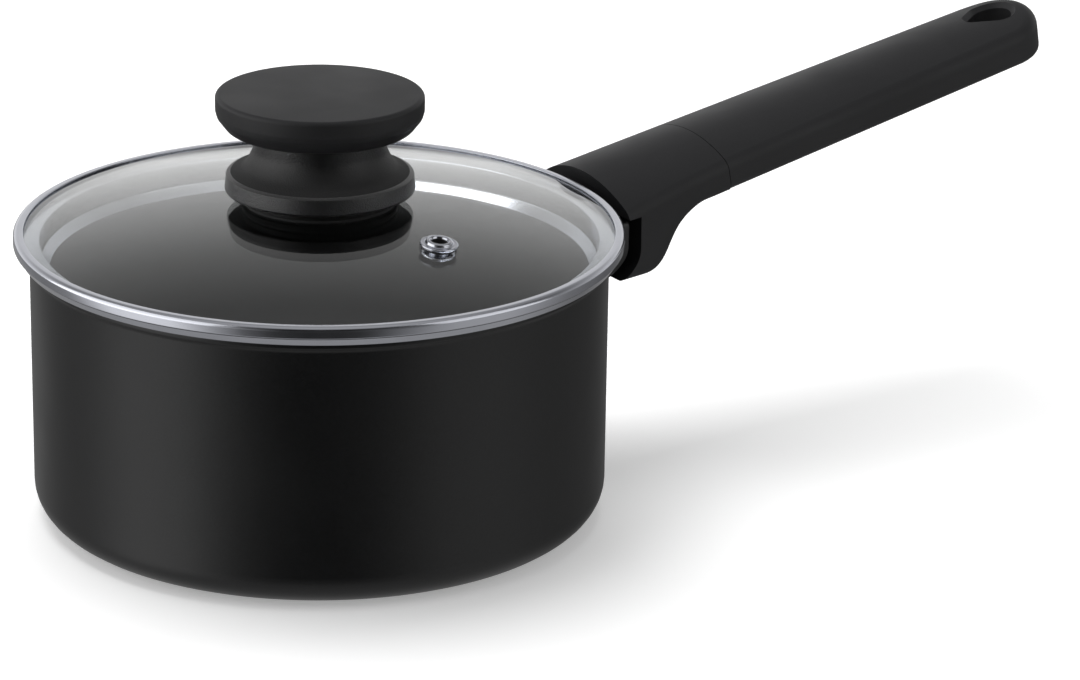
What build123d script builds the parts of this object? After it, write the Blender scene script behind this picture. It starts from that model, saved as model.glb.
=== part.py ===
# Saucepan with a glass lid. Millimetres, +Z up. The base stands on z = 0 round the origin, and the handle
# runs towards +X and rises. The lid is in its rest place on the rim.
import os
from math import asin, cos, pi, radians, sin, sqrt, tan

from build123d import *

os.makedirs("parts", exist_ok=True)

# ---------------------------------------------------------------- clearances
press_gap = 0.05         # pieces pressed or riveted together
slip_gap = 0.30          # pieces that slide together or lift apart
seam_gap = 0.20          # visible line between heel and grip

# ---------------------------------------------------------------- pan
pan_inner_d = 160.0      # nominal size of the pan
wall = 2.5               # pressed aluminium with its coating
pan_height = 78.0        # table to rim
base_wall = 4.0
corner_r = 13.0          # outer radius between wall and base
lip_out = 0.9            # how far the rim turns out
lip_h = 1.7
rim_round = 0.5
plate_margin = 20.5      # wall to the induction disc, seen from below
plate_t = 1.0

# ---------------------------------------------------------------- handle
handle_rise = 10.4       # degrees above level
attach_drop = 8.1        # rim to the handle's lower line at the wall
heel_drop = 19.7         # rim to the lowest line of the heel
heel_reach = 9.7         # wall to the front of the overhanging top
flank_reach = 13.1       # wall to the heel's flanks
overhang_h = 5.2         # lower line to the underside of the overhang
seam_reach = 47.7        # wall to the seam between heel and grip
grip_len = 115.0         # seam to where the tail starts to round
tail_len = 15.4
heel_w = 47.2
seam_w = 40.8
tail_w = 32.6
root_len = 13.0          # the heel's plan starts this far behind its front, where it is cut away
root_flare = 1.0         # and this much wider on each side
plan_turn = 0.07         # slope of the plan's sides there
crown_h = 14.9           # thickness over the crown at the heel
crown_drop = 1.2         # how much thinner it is at the tail
crown_r = 38.0
shoulder_r = 4.2
under_r = 2.6
heel_under_r = 2.0
foot_len = 15.5          # wall to where the underside leaves the foot
foot_lift = 0.4
swoop = ((21.9, 0.21), (28.7, 0.79), (36.1, 0.995))  # out from the wall, share of the climb to the lower line
swoop_end = 2.4          # from the seam
flank_turn_h = 9.7       # heel's lowest line to where the flanks start to curve in
flank_sweep = ((1.0, 4.4), (4.2, 8.0))  # in from the flank, down from the turn
toe_in = 9.6             # from the flank to the toe
toe_drop = 1.3           # below the heel's lowest line

hang_in = 2.6            # round end of the hanging hole, past the start of the tail
hang_r = 6.0
hang_tip = 7.6           # between the centres of the hole's round end and small end
hang_tip_r = 2.0
hang_chamfer = 1.5

# ---------------------------------------------------------------- bracket, guard and fasteners
foot_w = 29.0            # the bracket's foot on the wall
foot_h = 14.2
foot_t = 2.4
foot_drop = 17.6         # rim to the foot's lower edge
arm_half = 8.0
arm_floor = 5.7          # heel's lowest line to the underside of the arm
arm_low = 4.0            # the arm's end, square above the lower line
arm_t = 3.5
tang_half = 6.0
tang_t = 2.0
tang_start = 15.3        # from the heel's front
tang_reach = 70.6        # into the grip
arm_end = 19.0           # from the tang's start
arm_lead = 4.0           # the arm's underside reaches its end's slope here, from the tang's start
arm_lead_top = 2.0       # its top does this far before
arm_dip = 2.0            # the underside's fall towards the wall
arm_root_len = 7.2       # wall to the level part of the underside
arm_knee_in = 5.4        # flank to the knee
arm_knee_len = 4.0
arm_knee_h = 4.5
arm_top_wall = 4.8       # rim to the arm's top at the wall
arm_top_flank = 3.4      # and at the flanks
rivet_at = (8.0, 15.3)   # from the tang's start
rivet_r = 2.0
rivet_head_r = 3.4
rivet_head_t = 1.2
tang_round = 3.6         # corners of the tang
tang_clear = 2.0         # room past its end in the grip
screw_r = 2.0
screw_head_r = 3.6
screw_head_t = 1.6
screw_len = 8.0
screw_slot = (4.0, 0.9)
screw_tip = 1.0          # room past a screw's end
screw_seat = 2.2         # floor of the counterbore in the grip
heel_seat = 2.6          # floor of the counterbore in the heel
heel_screw_out = 14.5    # wall to the heel screw
grip_screw_in = 52.6     # seam to the grip screw
guard_half = 20.6
guard_neck_half = 17.4
guard_reach = 10.5       # wall to the guard's back
guard_drop = 2.0         # rim to the guard's top
guard_lift = 0.2         # over the heel's lowest line
guard_foot_h = 0.3       # thickness at its toe
guard_toe = 8.4          # back from its face
guard_sweep = ((0.8, 3.4), (3.6, 6.6))  # back from its face, down from the turn
guard_round = 2.4
guard_neck_h = (0.4, 2.2)  # the neck starts over the turn and ends under the guard's top

# ---------------------------------------------------------------- lid
band_out = 4.5           # the steel band stands out this far from the wall
band_t = 0.5
band_room = 1.7          # height of the band over the glass's thickness
band_lip = 2.9           # width of the lip on the glass
band_round = 1.9
band_crease = 3.4        # top of the band to the start of the tapering strip
band_taper = 1.8
band_nick = 0.35         # depth of the crease
band_foot = 0.25         # rounding at the seat
skirt_gap = 0.6          # skirt to the inside of the wall
skirt_drop = 5.5         # rim to the end of the skirt
hem_h = 2.3
hem_in = 2.6
glass_t = 4.0
glass_edge = 0.6         # glass edge to the inside of the band
glass_bulge = 0.35       # the edge's rounding
dome_rise = 9.0          # over the lip's inner edge
screw_hole_r = 4.0

vent_x, vent_y = 9.9, -47.3
vent_bore_r = 2.2
vent_tube_r = 2.9
vent_flange_r = 5.4
vent_flange_t = 1.0
vent_step_r = 4.1
vent_step_t = 0.9
vent_seal_t = 0.4
vent_collar_r = 4.7
vent_collar_t = 1.0
vent_edge = 0.35         # rounding of the flange and the step
vent_mouth = 0.8         # rounding of the bore's mouth

# ---------------------------------------------------------------- knob
knob_h = 31.1            # over the top of the glass
cap_r = 29.6
cap_side = 6.3           # height of the cap's side
cap_dish = 5.2           # how far its underside sinks towards the neck
cap_floor = 6.0          # thickness of the cap over its spigot
cap_edge = 1.3
cap_curl = (3.5, 1.7)    # a point of the underside's curve, in from the side and up from the neck
cap_lap = 0.8            # flat ring of the underside next to the neck
cap_taper = 0.3          # the side leans in this much towards the bottom
neck_r = 18.9
neck_sink = 1.2          # the neck's end inside the cap
neck_straight = 3.6
neck_flare = (1.7, 2.4)  # a point of the flare, out from the neck and up from the flange
flange_r = 27.1
flange_up = 2.8          # glass to the flange's lower edge
flange_t = 5.1
flange_in = 1.5          # where the flare starts, in from the flange's edge
flange_lift = 0.25       # and over its top
flange_taper = 0.45
flange_low_edge = 0.5
flange_low_h = 0.7
flange_top_edge = 0.6
knob_foot_r = 22.3
knob_foot_w = 2.7
knob_foot_h = 1.6
gasket_t = 0.2           # over the highest point of the dome
spigot_r = 14.8
spigot_t = 2.3
spigot_len = 5.5
boss_r = 7.0
boss_wall = 5.0          # floor of the base over its hollow
boss_up = 0.8            # glass to the underside of the boss
insert_r = 4.0
insert_len = 10.4
insert_cover = 0.6       # plastic over the insert
knob_screw_r = 2.0
knob_screw_head_r = 3.9
knob_screw_head_t = 2.4
knob_screw_len = 15.0
knob_screw_slot = (4.2, 1.0)
washer_r = 9.0
washer_t = 1.0
grommet_r = 8.0
grommet_t = 1.4
gasket_in = 0.5          # from the edge of the knob's foot
gasket_w = 4.2

# ---------------------------------------------------------------- derived
up_from = (Align.CENTER, Align.CENTER, Align.MIN)
pan_in = pan_inner_d / 2
pan_r = pan_in + wall
rise = radians(handle_rise)
heel_low = pan_height - heel_drop
handle_z0 = pan_height - attach_drop - pan_r * tan(rise)
heel_front = (pan_r + heel_reach) / cos(rise)
heel_flank = pan_r + flank_reach
seam_s = (pan_r + seam_reach) / cos(rise)
tail_s = seam_s + grip_len
handle_end = tail_s + tail_len
arm_high = arm_low + arm_t
tang_s = heel_front + tang_start
rivet_s = [(tang_s + d, 0) for d in rivet_at]
grip_screw_s = seam_s + grip_screw_in
heel_screw_x = pan_r + heel_screw_out
seat_z = heel_low + heel_seat
flank_turn = heel_low + flank_turn_h
arm_under = heel_low + arm_floor

band_r = pan_r + band_out
seat = pan_height + slip_gap
band_top = seat + glass_t + band_room
skirt_r = pan_in - skirt_gap
skirt_low = pan_height - skirt_drop
lip_r = band_r - band_lip
glass_r = band_r - band_t - glass_edge
dome_base = band_top - band_t - press_gap
dome_r = (lip_r**2 + dome_rise**2) / (2 * dome_rise)
dome_top = dome_base + dome_rise
under_r_dome = dome_r - glass_t
under_top = dome_top - glass_t

foot_low = dome_top + gasket_t
flange_low = dome_top + flange_up
flange_top = flange_low + flange_t
cap_top = dome_top + knob_h
cap_low = cap_top - cap_side
cap_under = cap_low - cap_dish
neck_top = cap_under + neck_sink
neck_low = cap_under - neck_straight
boss_low = dome_top + boss_up
base_floor = boss_low + insert_len + insert_cover


def along(s, h):
    """World x and z of the point s along the handle's lower line and h square above it."""
    return s * cos(rise) - h * sin(rise), handle_z0 + s * sin(rise) + h * cos(rise)


def lower_line(x):
    return handle_z0 + x * tan(rise)


def crown(s):
    """Height of the crown at s, and of the ends of its arc."""
    top = crown_h - crown_drop * (s - heel_front) / (handle_end - heel_front)
    return top, top - crown_r + sqrt(crown_r**2 - crown_half**2)


def dome(r):
    return dome_top - dome_r + sqrt(dome_r**2 - r**2)


def under_dome(r):
    return under_top - under_r_dome + sqrt(under_r_dome**2 - r**2)


tilt = Location((0, 0, handle_z0), (0, -handle_rise, 0))
crown_half = 0.8 * crown_r


def tilted(plane):
    return Plane(tilt * plane.location)


# ================================================================ pan
with BuildPart() as pan_body:
    with BuildSketch(Plane.XZ):
        with BuildLine():
            inner_corner = corner_r - wall
            lip_r_out = pan_r + lip_out
            Line((0, 0), (pan_r - corner_r, 0))
            RadiusArc((pan_r - corner_r, 0), (pan_r, corner_r), -corner_r)
            Polyline((pan_r, corner_r), (pan_r, pan_height - lip_h), (lip_r_out, pan_height - lip_h / 2),
                     (lip_r_out, pan_height - rim_round), (lip_r_out - rim_round, pan_height),
                     (pan_in + rim_round, pan_height), (pan_in, pan_height - rim_round),
                     (pan_in, base_wall + inner_corner))
            RadiusArc((pan_in, base_wall + inner_corner), (pan_in - inner_corner, base_wall), inner_corner)
            Polyline((pan_in - inner_corner, base_wall), (0, base_wall), (0, 0))
        make_face()
    revolve(axis=Axis.Z)
    with BuildSketch():
        Circle(pan_r - plate_margin)
    extrude(amount=plate_t, mode=Mode.SUBTRACT)
pan_body.part.label = "pan_body"
export_step(pan_body.part, "parts/pan_body.step")

with BuildPart() as induction_plate:
    with BuildSketch():
        Circle(pan_r - plate_margin - press_gap)
    extrude(amount=plate_t)
induction_plate.part.label = "induction_plate"
export_step(induction_plate.part, "parts/induction_plate.step")

# ================================================================ bracket and guard
# side outline of the arm, from inside the wall to its end in the heel
arm_knee = heel_flank + arm_knee_in
arm_side = [(pan_in, arm_under - arm_dip), (pan_r + arm_root_len, arm_under), (arm_knee, arm_under),
            (arm_knee + arm_knee_len, arm_under + arm_knee_h), along(tang_s + arm_lead, arm_low),
            along(tang_s + arm_end, arm_low), along(tang_s + arm_end, arm_high),
            along(tang_s - arm_lead_top, arm_high), (heel_flank, pan_height - arm_top_flank),
            (pan_in, pan_height - arm_top_wall)]

with BuildPart() as handle_bracket:
    with BuildSketch(Plane.XZ):
        Polygon(*arm_side, align=None)
    extrude(amount=arm_half, both=True)
    with BuildSketch(Plane.XY.offset(pan_height - foot_drop)):
        Circle(pan_r + foot_t)
        with Locations((pan_r, 0)):
            Rectangle(foot_w, foot_w, mode=Mode.INTERSECT)
    extrude(amount=foot_h)
    with BuildSketch():
        Circle(pan_r)
    extrude(amount=pan_height, mode=Mode.SUBTRACT)
    with BuildSketch(tilted(Plane.XY)):
        with Locations(*rivet_s):
            Circle(rivet_r)
    extrude(amount=2 * arm_high, mode=Mode.SUBTRACT)
    with BuildSketch(Plane.XY.offset(heel_low)):
        with Locations((heel_screw_x, 0)):
            Circle(screw_r)
    extrude(amount=heel_seat + screw_len + screw_tip, mode=Mode.SUBTRACT)
handle_bracket.part.label = "handle_bracket"
export_step(handle_bracket.part, "parts/handle_bracket.step")

guard_back = pan_r + guard_reach
guard_top = pan_height - guard_drop
guard_low = heel_low + guard_lift
guard_tip = (guard_back - guard_toe, guard_low + guard_foot_h)
with BuildPart() as flame_guard:
    with BuildSketch(Plane.XZ):
        with BuildLine():
            Polyline((pan_in, guard_low), (pan_in, guard_top), (guard_back, guard_top),
                     (guard_back, flank_turn))
            Spline((guard_back, flank_turn), *[(guard_back - d, flank_turn - h) for d, h in guard_sweep],
                   guard_tip, tangents=((0, -1), (-1, -0.3)))
            Line(guard_tip, (pan_in, guard_low))
        make_face()
    extrude(amount=guard_half, both=True)
    top_sides = flame_guard.edges().filter_by(Axis.X).group_by(Axis.Z)[-1]
    fillet(top_sides, guard_round)
    with BuildSketch(Plane.XY.offset(flank_turn + guard_neck_h[0])):
        with Locations(((pan_r + heel_flank) / 2, 0)):
            Rectangle(heel_flank - pan_r, 2 * guard_neck_half)
    extrude(amount=guard_top - flank_turn - guard_neck_h[1] + guard_neck_h[0])
    with BuildSketch():
        Circle(pan_r)
    extrude(amount=pan_height, mode=Mode.SUBTRACT)
    # the bracket's foot and arm pass through it
    with BuildSketch(Plane.XY.offset(pan_height - foot_drop - slip_gap)):
        Circle(pan_r + foot_t + slip_gap)
        with Locations((pan_r, 0)):
            Rectangle(foot_w + 2 * slip_gap, foot_w + 2 * slip_gap, mode=Mode.INTERSECT)
    extrude(amount=foot_h + 2 * slip_gap, mode=Mode.SUBTRACT)
    with BuildSketch(Plane.XZ):
        Polygon(*arm_side, align=None)
        offset(amount=2 * slip_gap, kind=Kind.INTERSECTION)
    extrude(amount=arm_half + slip_gap, both=True, mode=Mode.SUBTRACT)
flame_guard.part.label = "flame_guard"
export_step(flame_guard.part, "parts/flame_guard.step")

# ================================================================ heel
taper = (seam_w - tail_w) / 2 / grip_len
root_s = heel_front - root_len
root_half = heel_w / 2 + root_flare
beyond = 20.0                # how far a cutting outline passes the solid
with BuildPart() as handle_heel:
    with BuildSketch(tilted(Plane.XY.offset(-heel_drop - crown_h))):
        with BuildLine():
            Spline((root_s, root_half), (heel_front, heel_w / 2), (seam_s, seam_w / 2),
                   tangents=((1, -plan_turn), (1, -taper)))
            Line((seam_s, seam_w / 2), (seam_s, -seam_w / 2))
            Spline((root_s, -root_half), (heel_front, -heel_w / 2), (seam_s, -seam_w / 2),
                   tangents=((1, plan_turn), (1, taper)))
            Line((root_s, root_half), (root_s, -root_half))
        make_face()
        with Locations((seam_s - seam_gap / 2 + heel_w / 2, 0)):
            Rectangle(heel_w, 2 * heel_w, mode=Mode.SUBTRACT)
    extrude(amount=heel_drop + 3 * crown_h)
    for s in (root_s - beyond / 2, seam_s + beyond):
        top, edge = crown(s)
        with BuildSketch(tilted(Plane.YZ.offset(s))):
            with BuildLine():
                Polyline((-crown_half, edge), (-crown_half, -2 * heel_drop), (crown_half, -2 * heel_drop),
                         (crown_half, edge))
                ThreePointArc((-crown_half, edge), (0, top), (crown_half, edge))
            make_face()
    loft(mode=Mode.INTERSECT)
    # underside: level at the foot, then it sweeps up to the lower line
    swoop_in = (pan_r + foot_len, heel_low + foot_lift)
    swoop_out = along(seam_s - swoop_end, 0)
    swoop_start = (pan_r - beyond, heel_low - toe_drop)
    climb = [(pan_r + d, heel_low + f * (lower_line(pan_r + d) - heel_low)) for d, f in swoop]
    with BuildSketch(Plane.XZ):
        with BuildLine():
            Line(swoop_start, swoop_in)
            Spline(swoop_in, *climb, swoop_out, tangents=((1, 0.05), (cos(rise), sin(rise))))
            Polyline(swoop_out, along(seam_s + beyond, 0), along(seam_s + beyond, 3 * crown_h),
                     along(root_s - beyond, 3 * crown_h), swoop_start)
        make_face()
    extrude(amount=heel_w, both=True, mode=Mode.INTERSECT)
    # front: the top overhangs, the flanks start further back and curve in at the foot
    with BuildSketch(Plane.XZ):
        with BuildLine():
            overhang_z = along(heel_front, overhang_h)[1] + (heel_flank - heel_front) * tan(rise)
            toe = (heel_flank - toe_in, heel_low - toe_drop)
            Polyline(toe, (toe[0], 0), (pan_r - beyond, 0), (pan_r - beyond, 2 * pan_height),
                     along(heel_front, 2 * crown_h), along(heel_front, overhang_h), (heel_flank, overhang_z),
                     (heel_flank, flank_turn))
            Spline((heel_flank, flank_turn), *[(heel_flank - d, flank_turn - h) for d, h in flank_sweep],
                   toe, tangents=((0, -1), (-1, -0.35)))
        make_face()
    extrude(amount=heel_w, both=True, mode=Mode.SUBTRACT)
    long_enough = 0.6 * (seam_s - heel_front)
    flanks = handle_heel.edges().filter_by(lambda e: e.length > long_enough)
    flanks = flanks.filter_by(lambda e: abs(e.center().Y) > tail_w / 2)
    fillet(flanks.filter_by(lambda e: e.center().Z > lower_line(e.center().X) + crown_h / 4), shoulder_r)
    flanks = handle_heel.edges().filter_by(lambda e: e.length > long_enough)
    flanks = flanks.filter_by(lambda e: abs(e.center().Y) > tail_w / 2)
    fillet(flanks.filter_by(lambda e: e.center().Z < lower_line(e.center().X)), heel_under_r)
    # hollow for the arm, and for the tang with its rivets
    with BuildSketch(Plane.XZ):
        Polygon(*arm_side, align=None)
        offset(amount=2 * slip_gap, kind=Kind.INTERSECTION)
    extrude(amount=arm_half + slip_gap, both=True, mode=Mode.SUBTRACT)
    with BuildSketch(tilted(Plane.YZ.offset(tang_s - slip_gap))):
        with Locations((0, (arm_low + arm_high + tang_t) / 2)):
            Rectangle(2 * (arm_half + slip_gap), arm_t + tang_t + 2 * (rivet_head_t + slip_gap))
    extrude(amount=seam_s, mode=Mode.SUBTRACT)
    with Locations((heel_screw_x, 0, 0)):
        Cylinder(screw_head_r + slip_gap, seat_z, align=up_from, mode=Mode.SUBTRACT)
        Cylinder(screw_r + slip_gap, arm_under, align=up_from, mode=Mode.SUBTRACT)
handle_heel.part.label = "handle_heel"
export_step(handle_heel.part, "parts/handle_heel.step")

# ================================================================ grip
hang_s = tail_s + hang_in
with BuildPart() as handle_grip:
    grip_s = seam_s + seam_gap / 2
    with BuildSketch(tilted(Plane.XY)):
        with BuildLine():
            Polyline((tail_s, tail_w / 2), (grip_s, seam_w / 2), (grip_s, -seam_w / 2), (tail_s, -tail_w / 2))
            EllipticalCenterArc((tail_s, 0), tail_len, tail_w / 2, start_angle=-90, arc_size=180)
        make_face()
    extrude(amount=2 * crown_h)
    for s in (seam_s - beyond, handle_end + beyond):
        top, edge = crown(s)
        with BuildSketch(tilted(Plane.YZ.offset(s))):
            with BuildLine():
                Polyline((-crown_half, edge), (-crown_half, -crown_h), (crown_half, -crown_h),
                         (crown_half, edge))
                ThreePointArc((-crown_half, edge), (0, top), (crown_half, edge))
            make_face()
    loft(mode=Mode.INTERSECT)
    rails = handle_grip.edges().filter_by(lambda e: e.length > seam_w * 1.1)
    fillet(rails.filter_by(lambda e: e.center().Z > lower_line(e.center().X) + crown_h / 2.5), shoulder_r)
    rails = handle_grip.edges().filter_by(lambda e: e.length > seam_w * 1.1)
    fillet(rails.filter_by(lambda e: e.center().Z < lower_line(e.center().X) + crown_h / 8), under_r)
    # hanging hole: a drop through the tail, with its small end towards the pan, bevelled on both faces
    with BuildSketch(tilted(Plane.XY.offset(-crown_h))):
        with BuildLine():
            drop = asin((hang_r - hang_tip_r) / hang_tip)
            small = hang_s - hang_tip
            big_end = (hang_s - hang_r * sin(drop), hang_r * cos(drop))
            small_end = (small - hang_tip_r * sin(drop), hang_tip_r * cos(drop))
            Line(big_end, small_end)
            ThreePointArc(small_end, (small - hang_tip_r, 0), (small_end[0], -small_end[1]))
            Line((small_end[0], -small_end[1]), (big_end[0], -big_end[1]))
            ThreePointArc((big_end[0], -big_end[1]), (hang_s + hang_r, 0), big_end)
        make_face()
    extrude(amount=3 * crown_h, mode=Mode.SUBTRACT)
    low_x, high_x = (hang_s - hang_tip - 2 * hang_r) * cos(rise), (hang_s + hang_r) * cos(rise)
    mouth = handle_grip.edges().filter_by(
        lambda e: abs(e.center().Y) < hang_r and low_x < e.center().X < high_x and e.length > hang_tip_r
        and e.bounding_box().size.Z < crown_h / 2 and e.length < 4 * hang_r)
    chamfer(mouth, hang_chamfer)
    # slot for the tang, and the screw from below
    with BuildSketch(tilted(Plane.YZ.offset(seam_s))):
        with Locations((0, arm_high + tang_t / 2)):
            Rectangle(2 * (tang_half + slip_gap), tang_t + 2 * slip_gap)
    extrude(amount=tang_reach + tang_clear, mode=Mode.SUBTRACT)
    with BuildSketch(tilted(Plane.XY.offset(-crown_h))):
        with Locations((grip_screw_s, 0)):
            Circle(screw_head_r + slip_gap)
    extrude(amount=crown_h + screw_seat, mode=Mode.SUBTRACT)
    with BuildSketch(tilted(Plane.XY)):
        with Locations((grip_screw_s, 0)):
            Circle(screw_r + slip_gap)
    extrude(amount=screw_seat + screw_len + screw_tip / 2, mode=Mode.SUBTRACT)
handle_grip.part.label = "handle_grip"
export_step(handle_grip.part, "parts/handle_grip.step")

# ================================================================ tang and its fasteners
with BuildPart() as handle_tang:
    tang_len = seam_s + tang_reach - tang_s
    with BuildSketch(tilted(Plane.XY.offset(arm_high))):
        with Locations((tang_s + tang_len / 2, 0)):
            RectangleRounded(tang_len, 2 * tang_half, tang_round)
        with Locations(*rivet_s):
            Circle(rivet_r, mode=Mode.SUBTRACT)
        with Locations((grip_screw_s, 0)):
            Circle(screw_r, mode=Mode.SUBTRACT)
    extrude(amount=tang_t)
handle_tang.part.label = "handle_tang"
export_step(handle_tang.part, "parts/handle_tang.step")

with BuildPart() as tang_rivets:
    shank = (arm_low, arm_t + tang_t, rivet_r - press_gap)
    heads = [(h, rivet_head_t, rivet_head_r) for h in (arm_low - rivet_head_t, arm_high + tang_t)]
    for low, deep, r in (heads[0], shank, heads[1]):
        with BuildSketch(tilted(Plane.XY.offset(low))):
            with Locations(*rivet_s):
                Circle(r)
        extrude(amount=deep)
tang_rivets.part.label = "tang_rivets"
export_step(tang_rivets.part, "parts/tang_rivets.step")

with BuildPart() as handle_screws:
    places = ((tilted(Plane.XY.offset(screw_seat - screw_head_t)), grip_screw_s),
              (Plane.XY.offset(seat_z - screw_head_t), heel_screw_x))
    for place, x in places:
        with BuildSketch(place):
            with Locations((x, 0)):
                Circle(screw_head_r)
        extrude(amount=screw_head_t)
        with BuildSketch(place.offset(screw_head_t)):
            with Locations((x, 0)):
                Circle(screw_r - press_gap)
        extrude(amount=screw_len)
        with BuildSketch(place):
            with Locations((x, 0)):
                Rectangle(*screw_slot)
                Rectangle(screw_slot[1], screw_slot[0])
        extrude(amount=screw_head_t / 2, mode=Mode.SUBTRACT)
handle_screws.part.label = "handle_screws"
export_step(handle_screws.part, "parts/handle_screws.step")

# ================================================================ lid
vent_d = sqrt(vent_x**2 + vent_y**2)
lean = asin(vent_d / dome_r)
vent_plane = Plane(origin=(vent_x, vent_y, dome(vent_d)),
                   z_dir=(sin(lean) * vent_x / vent_d, sin(lean) * vent_y / vent_d, cos(lean)))

with BuildPart() as lid_glass:
    with BuildSketch(Plane.XZ):
        with BuildLine():
            rim_mid = (dome(glass_r) + under_dome(glass_r)) / 2
            ThreePointArc((screw_hole_r, dome(screw_hole_r)), (glass_r / 2, dome(glass_r / 2)),
                          (glass_r, dome(glass_r)))
            ThreePointArc((glass_r, dome(glass_r)), (glass_r + glass_bulge, rim_mid),
                          (glass_r, under_dome(glass_r)))
            ThreePointArc((glass_r, under_dome(glass_r)), (glass_r / 2, under_dome(glass_r / 2)),
                          (screw_hole_r, under_dome(screw_hole_r)))
            Line((screw_hole_r, under_dome(screw_hole_r)), (screw_hole_r, dome(screw_hole_r)))
        make_face()
    revolve(axis=Axis.Z)
    with BuildSketch(vent_plane.offset(-2 * glass_t)):
        Circle(vent_tube_r + slip_gap)
    extrude(amount=3 * glass_t, mode=Mode.SUBTRACT)
lid_glass.part.label = "lid_glass"
export_step(lid_glass.part, "parts/lid_glass.step")

# section of the band: lip on the glass, rounded edge, tapering strip, seat on the rim, skirt and hem
with BuildPart() as lid_ring:
    with BuildSketch(Plane.XZ):
        with BuildLine():
            inner_r = band_r - band_t
            strip = band_top - band_crease
            Polyline((band_r - band_round, band_top - band_t), (lip_r, band_top - band_t), (lip_r, band_top),
                     (band_r - band_round, band_top))
            side_top = band_top - band_round
            foot_r = band_r - band_taper
            hem_r, hem_low = skirt_r - hem_in, skirt_low - hem_h
            bow = band_round * (1 - sin(pi / 4))
            ThreePointArc((band_r - band_round, band_top), (band_r - bow, band_top - bow), (band_r, side_top))
            Polyline((band_r, side_top), (band_r - band_nick, strip), (foot_r + band_foot, seat + band_foot),
                     (foot_r, seat), (skirt_r, seat), (skirt_r, skirt_low), (hem_r, hem_low),
                     (hem_r - band_t, hem_low + band_nick), (skirt_r - band_t, skirt_low + band_foot),
                     (skirt_r - band_t, seat + band_t), (foot_r - band_foot, seat + band_t),
                     (inner_r - band_nick, strip), (inner_r, side_top))
            inner_bow = (band_round - band_t) * (1 - sin(pi / 4))
            ThreePointArc((inner_r, side_top), (inner_r - inner_bow, band_top - band_t - inner_bow),
                          (band_r - band_round, band_top - band_t))
        make_face()
    revolve(axis=Axis.Z)
lid_ring.part.label = "lid_ring"
export_step(lid_ring.part, "parts/lid_ring.step")

with BuildPart() as vent_seal:
    with BuildSketch(vent_plane.offset(-vent_seal_t / 2)):
        Circle(vent_flange_r - vent_seal_t)
        Circle(vent_tube_r + press_gap, mode=Mode.SUBTRACT)
    extrude(amount=vent_seal_t * 1.5)
    with Locations((0, 0, dome_top - dome_r)):
        Sphere(dome_r, mode=Mode.SUBTRACT)
vent_seal.part.label = "vent_seal"
export_step(vent_seal.part, "parts/vent_seal.step")

with BuildPart() as vent_eyelet:
    stack = ((-glass_t - 2 * vent_seal_t, glass_t + 3 * vent_seal_t, vent_tube_r),
             (vent_seal_t, vent_flange_t, vent_flange_r),
             (vent_seal_t + vent_flange_t, vent_step_t, vent_step_r))
    for low, deep, r in stack:
        with BuildSketch(vent_plane.offset(low)):
            Circle(r)
        extrude(amount=deep)
    rims = vent_eyelet.edges().filter_by(GeomType.CIRCLE)
    fillet(rims.filter_by(lambda e: e.radius > vent_step_r - press_gap), vent_edge)
    with BuildSketch(vent_plane.offset(-3 * glass_t)):
        Circle(vent_bore_r)
    extrude(amount=6 * glass_t, mode=Mode.SUBTRACT)
    bore_rims = vent_eyelet.edges().filter_by(GeomType.CIRCLE)
    bore_rims = bore_rims.filter_by(lambda e: abs(e.radius - vent_bore_r) < press_gap)
    fillet(bore_rims.sort_by(Axis.Z)[-1], vent_mouth)
vent_eyelet.part.label = "vent_eyelet"
export_step(vent_eyelet.part, "parts/vent_eyelet.step")

with BuildPart() as vent_collar:
    with BuildSketch(vent_plane.offset(-glass_t - vent_seal_t / 2 - vent_collar_t)):
        Circle(vent_collar_r)
        Circle(vent_tube_r + press_gap, mode=Mode.SUBTRACT)
    extrude(amount=vent_collar_t)
    rims = vent_collar.edges().filter_by(GeomType.CIRCLE)
    fillet(rims.filter_by(lambda e: e.radius > vent_collar_r - press_gap), vent_edge)
vent_collar.part.label = "vent_collar"
export_step(vent_collar.part, "parts/vent_collar.step")

# ================================================================ knob
with BuildPart() as knob_base:
    with BuildSketch(Plane.XZ):
        with BuildLine():
            bore = insert_r + press_gap
            foot_in = knob_foot_r - knob_foot_w
            hollow_top = base_floor - boss_wall
            cup_r = spigot_r + slip_gap
            low_edge = (flange_r - flange_low_edge, flange_low)
            side_low = (flange_r, flange_low + flange_low_h)
            side_high = (flange_r - flange_taper, flange_top - flange_top_edge)
            flare = (flange_r - flange_in, flange_top + flange_lift)
            Polyline((bore, boss_low), (boss_r, boss_low), (boss_r, hollow_top), (foot_in, hollow_top),
                     (foot_in, foot_low), (knob_foot_r, foot_low), (knob_foot_r, foot_low + knob_foot_h),
                     low_edge)
            ThreePointArc(low_edge, (flange_r - flange_low_edge / 5, flange_low + flange_low_h / 3), side_low)
            Line(side_low, side_high)
            ThreePointArc(side_high, ((side_high[0] + flare[0]) / 2 + flange_lift / 2, flange_top), flare)
            Spline(flare, (neck_r + neck_flare[0], flange_top + neck_flare[1]), (neck_r, neck_low),
                   tangents=((-1, 0.18), (-0.02, 1)))
            Polyline((neck_r, neck_low), (neck_r, neck_top), (cup_r, neck_top), (cup_r, base_floor),
                     (bore, base_floor), (bore, boss_low))
        make_face()
    revolve(axis=Axis.Z)
knob_base.part.label = "knob_base"
export_step(knob_base.part, "parts/knob_base.step")

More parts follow.
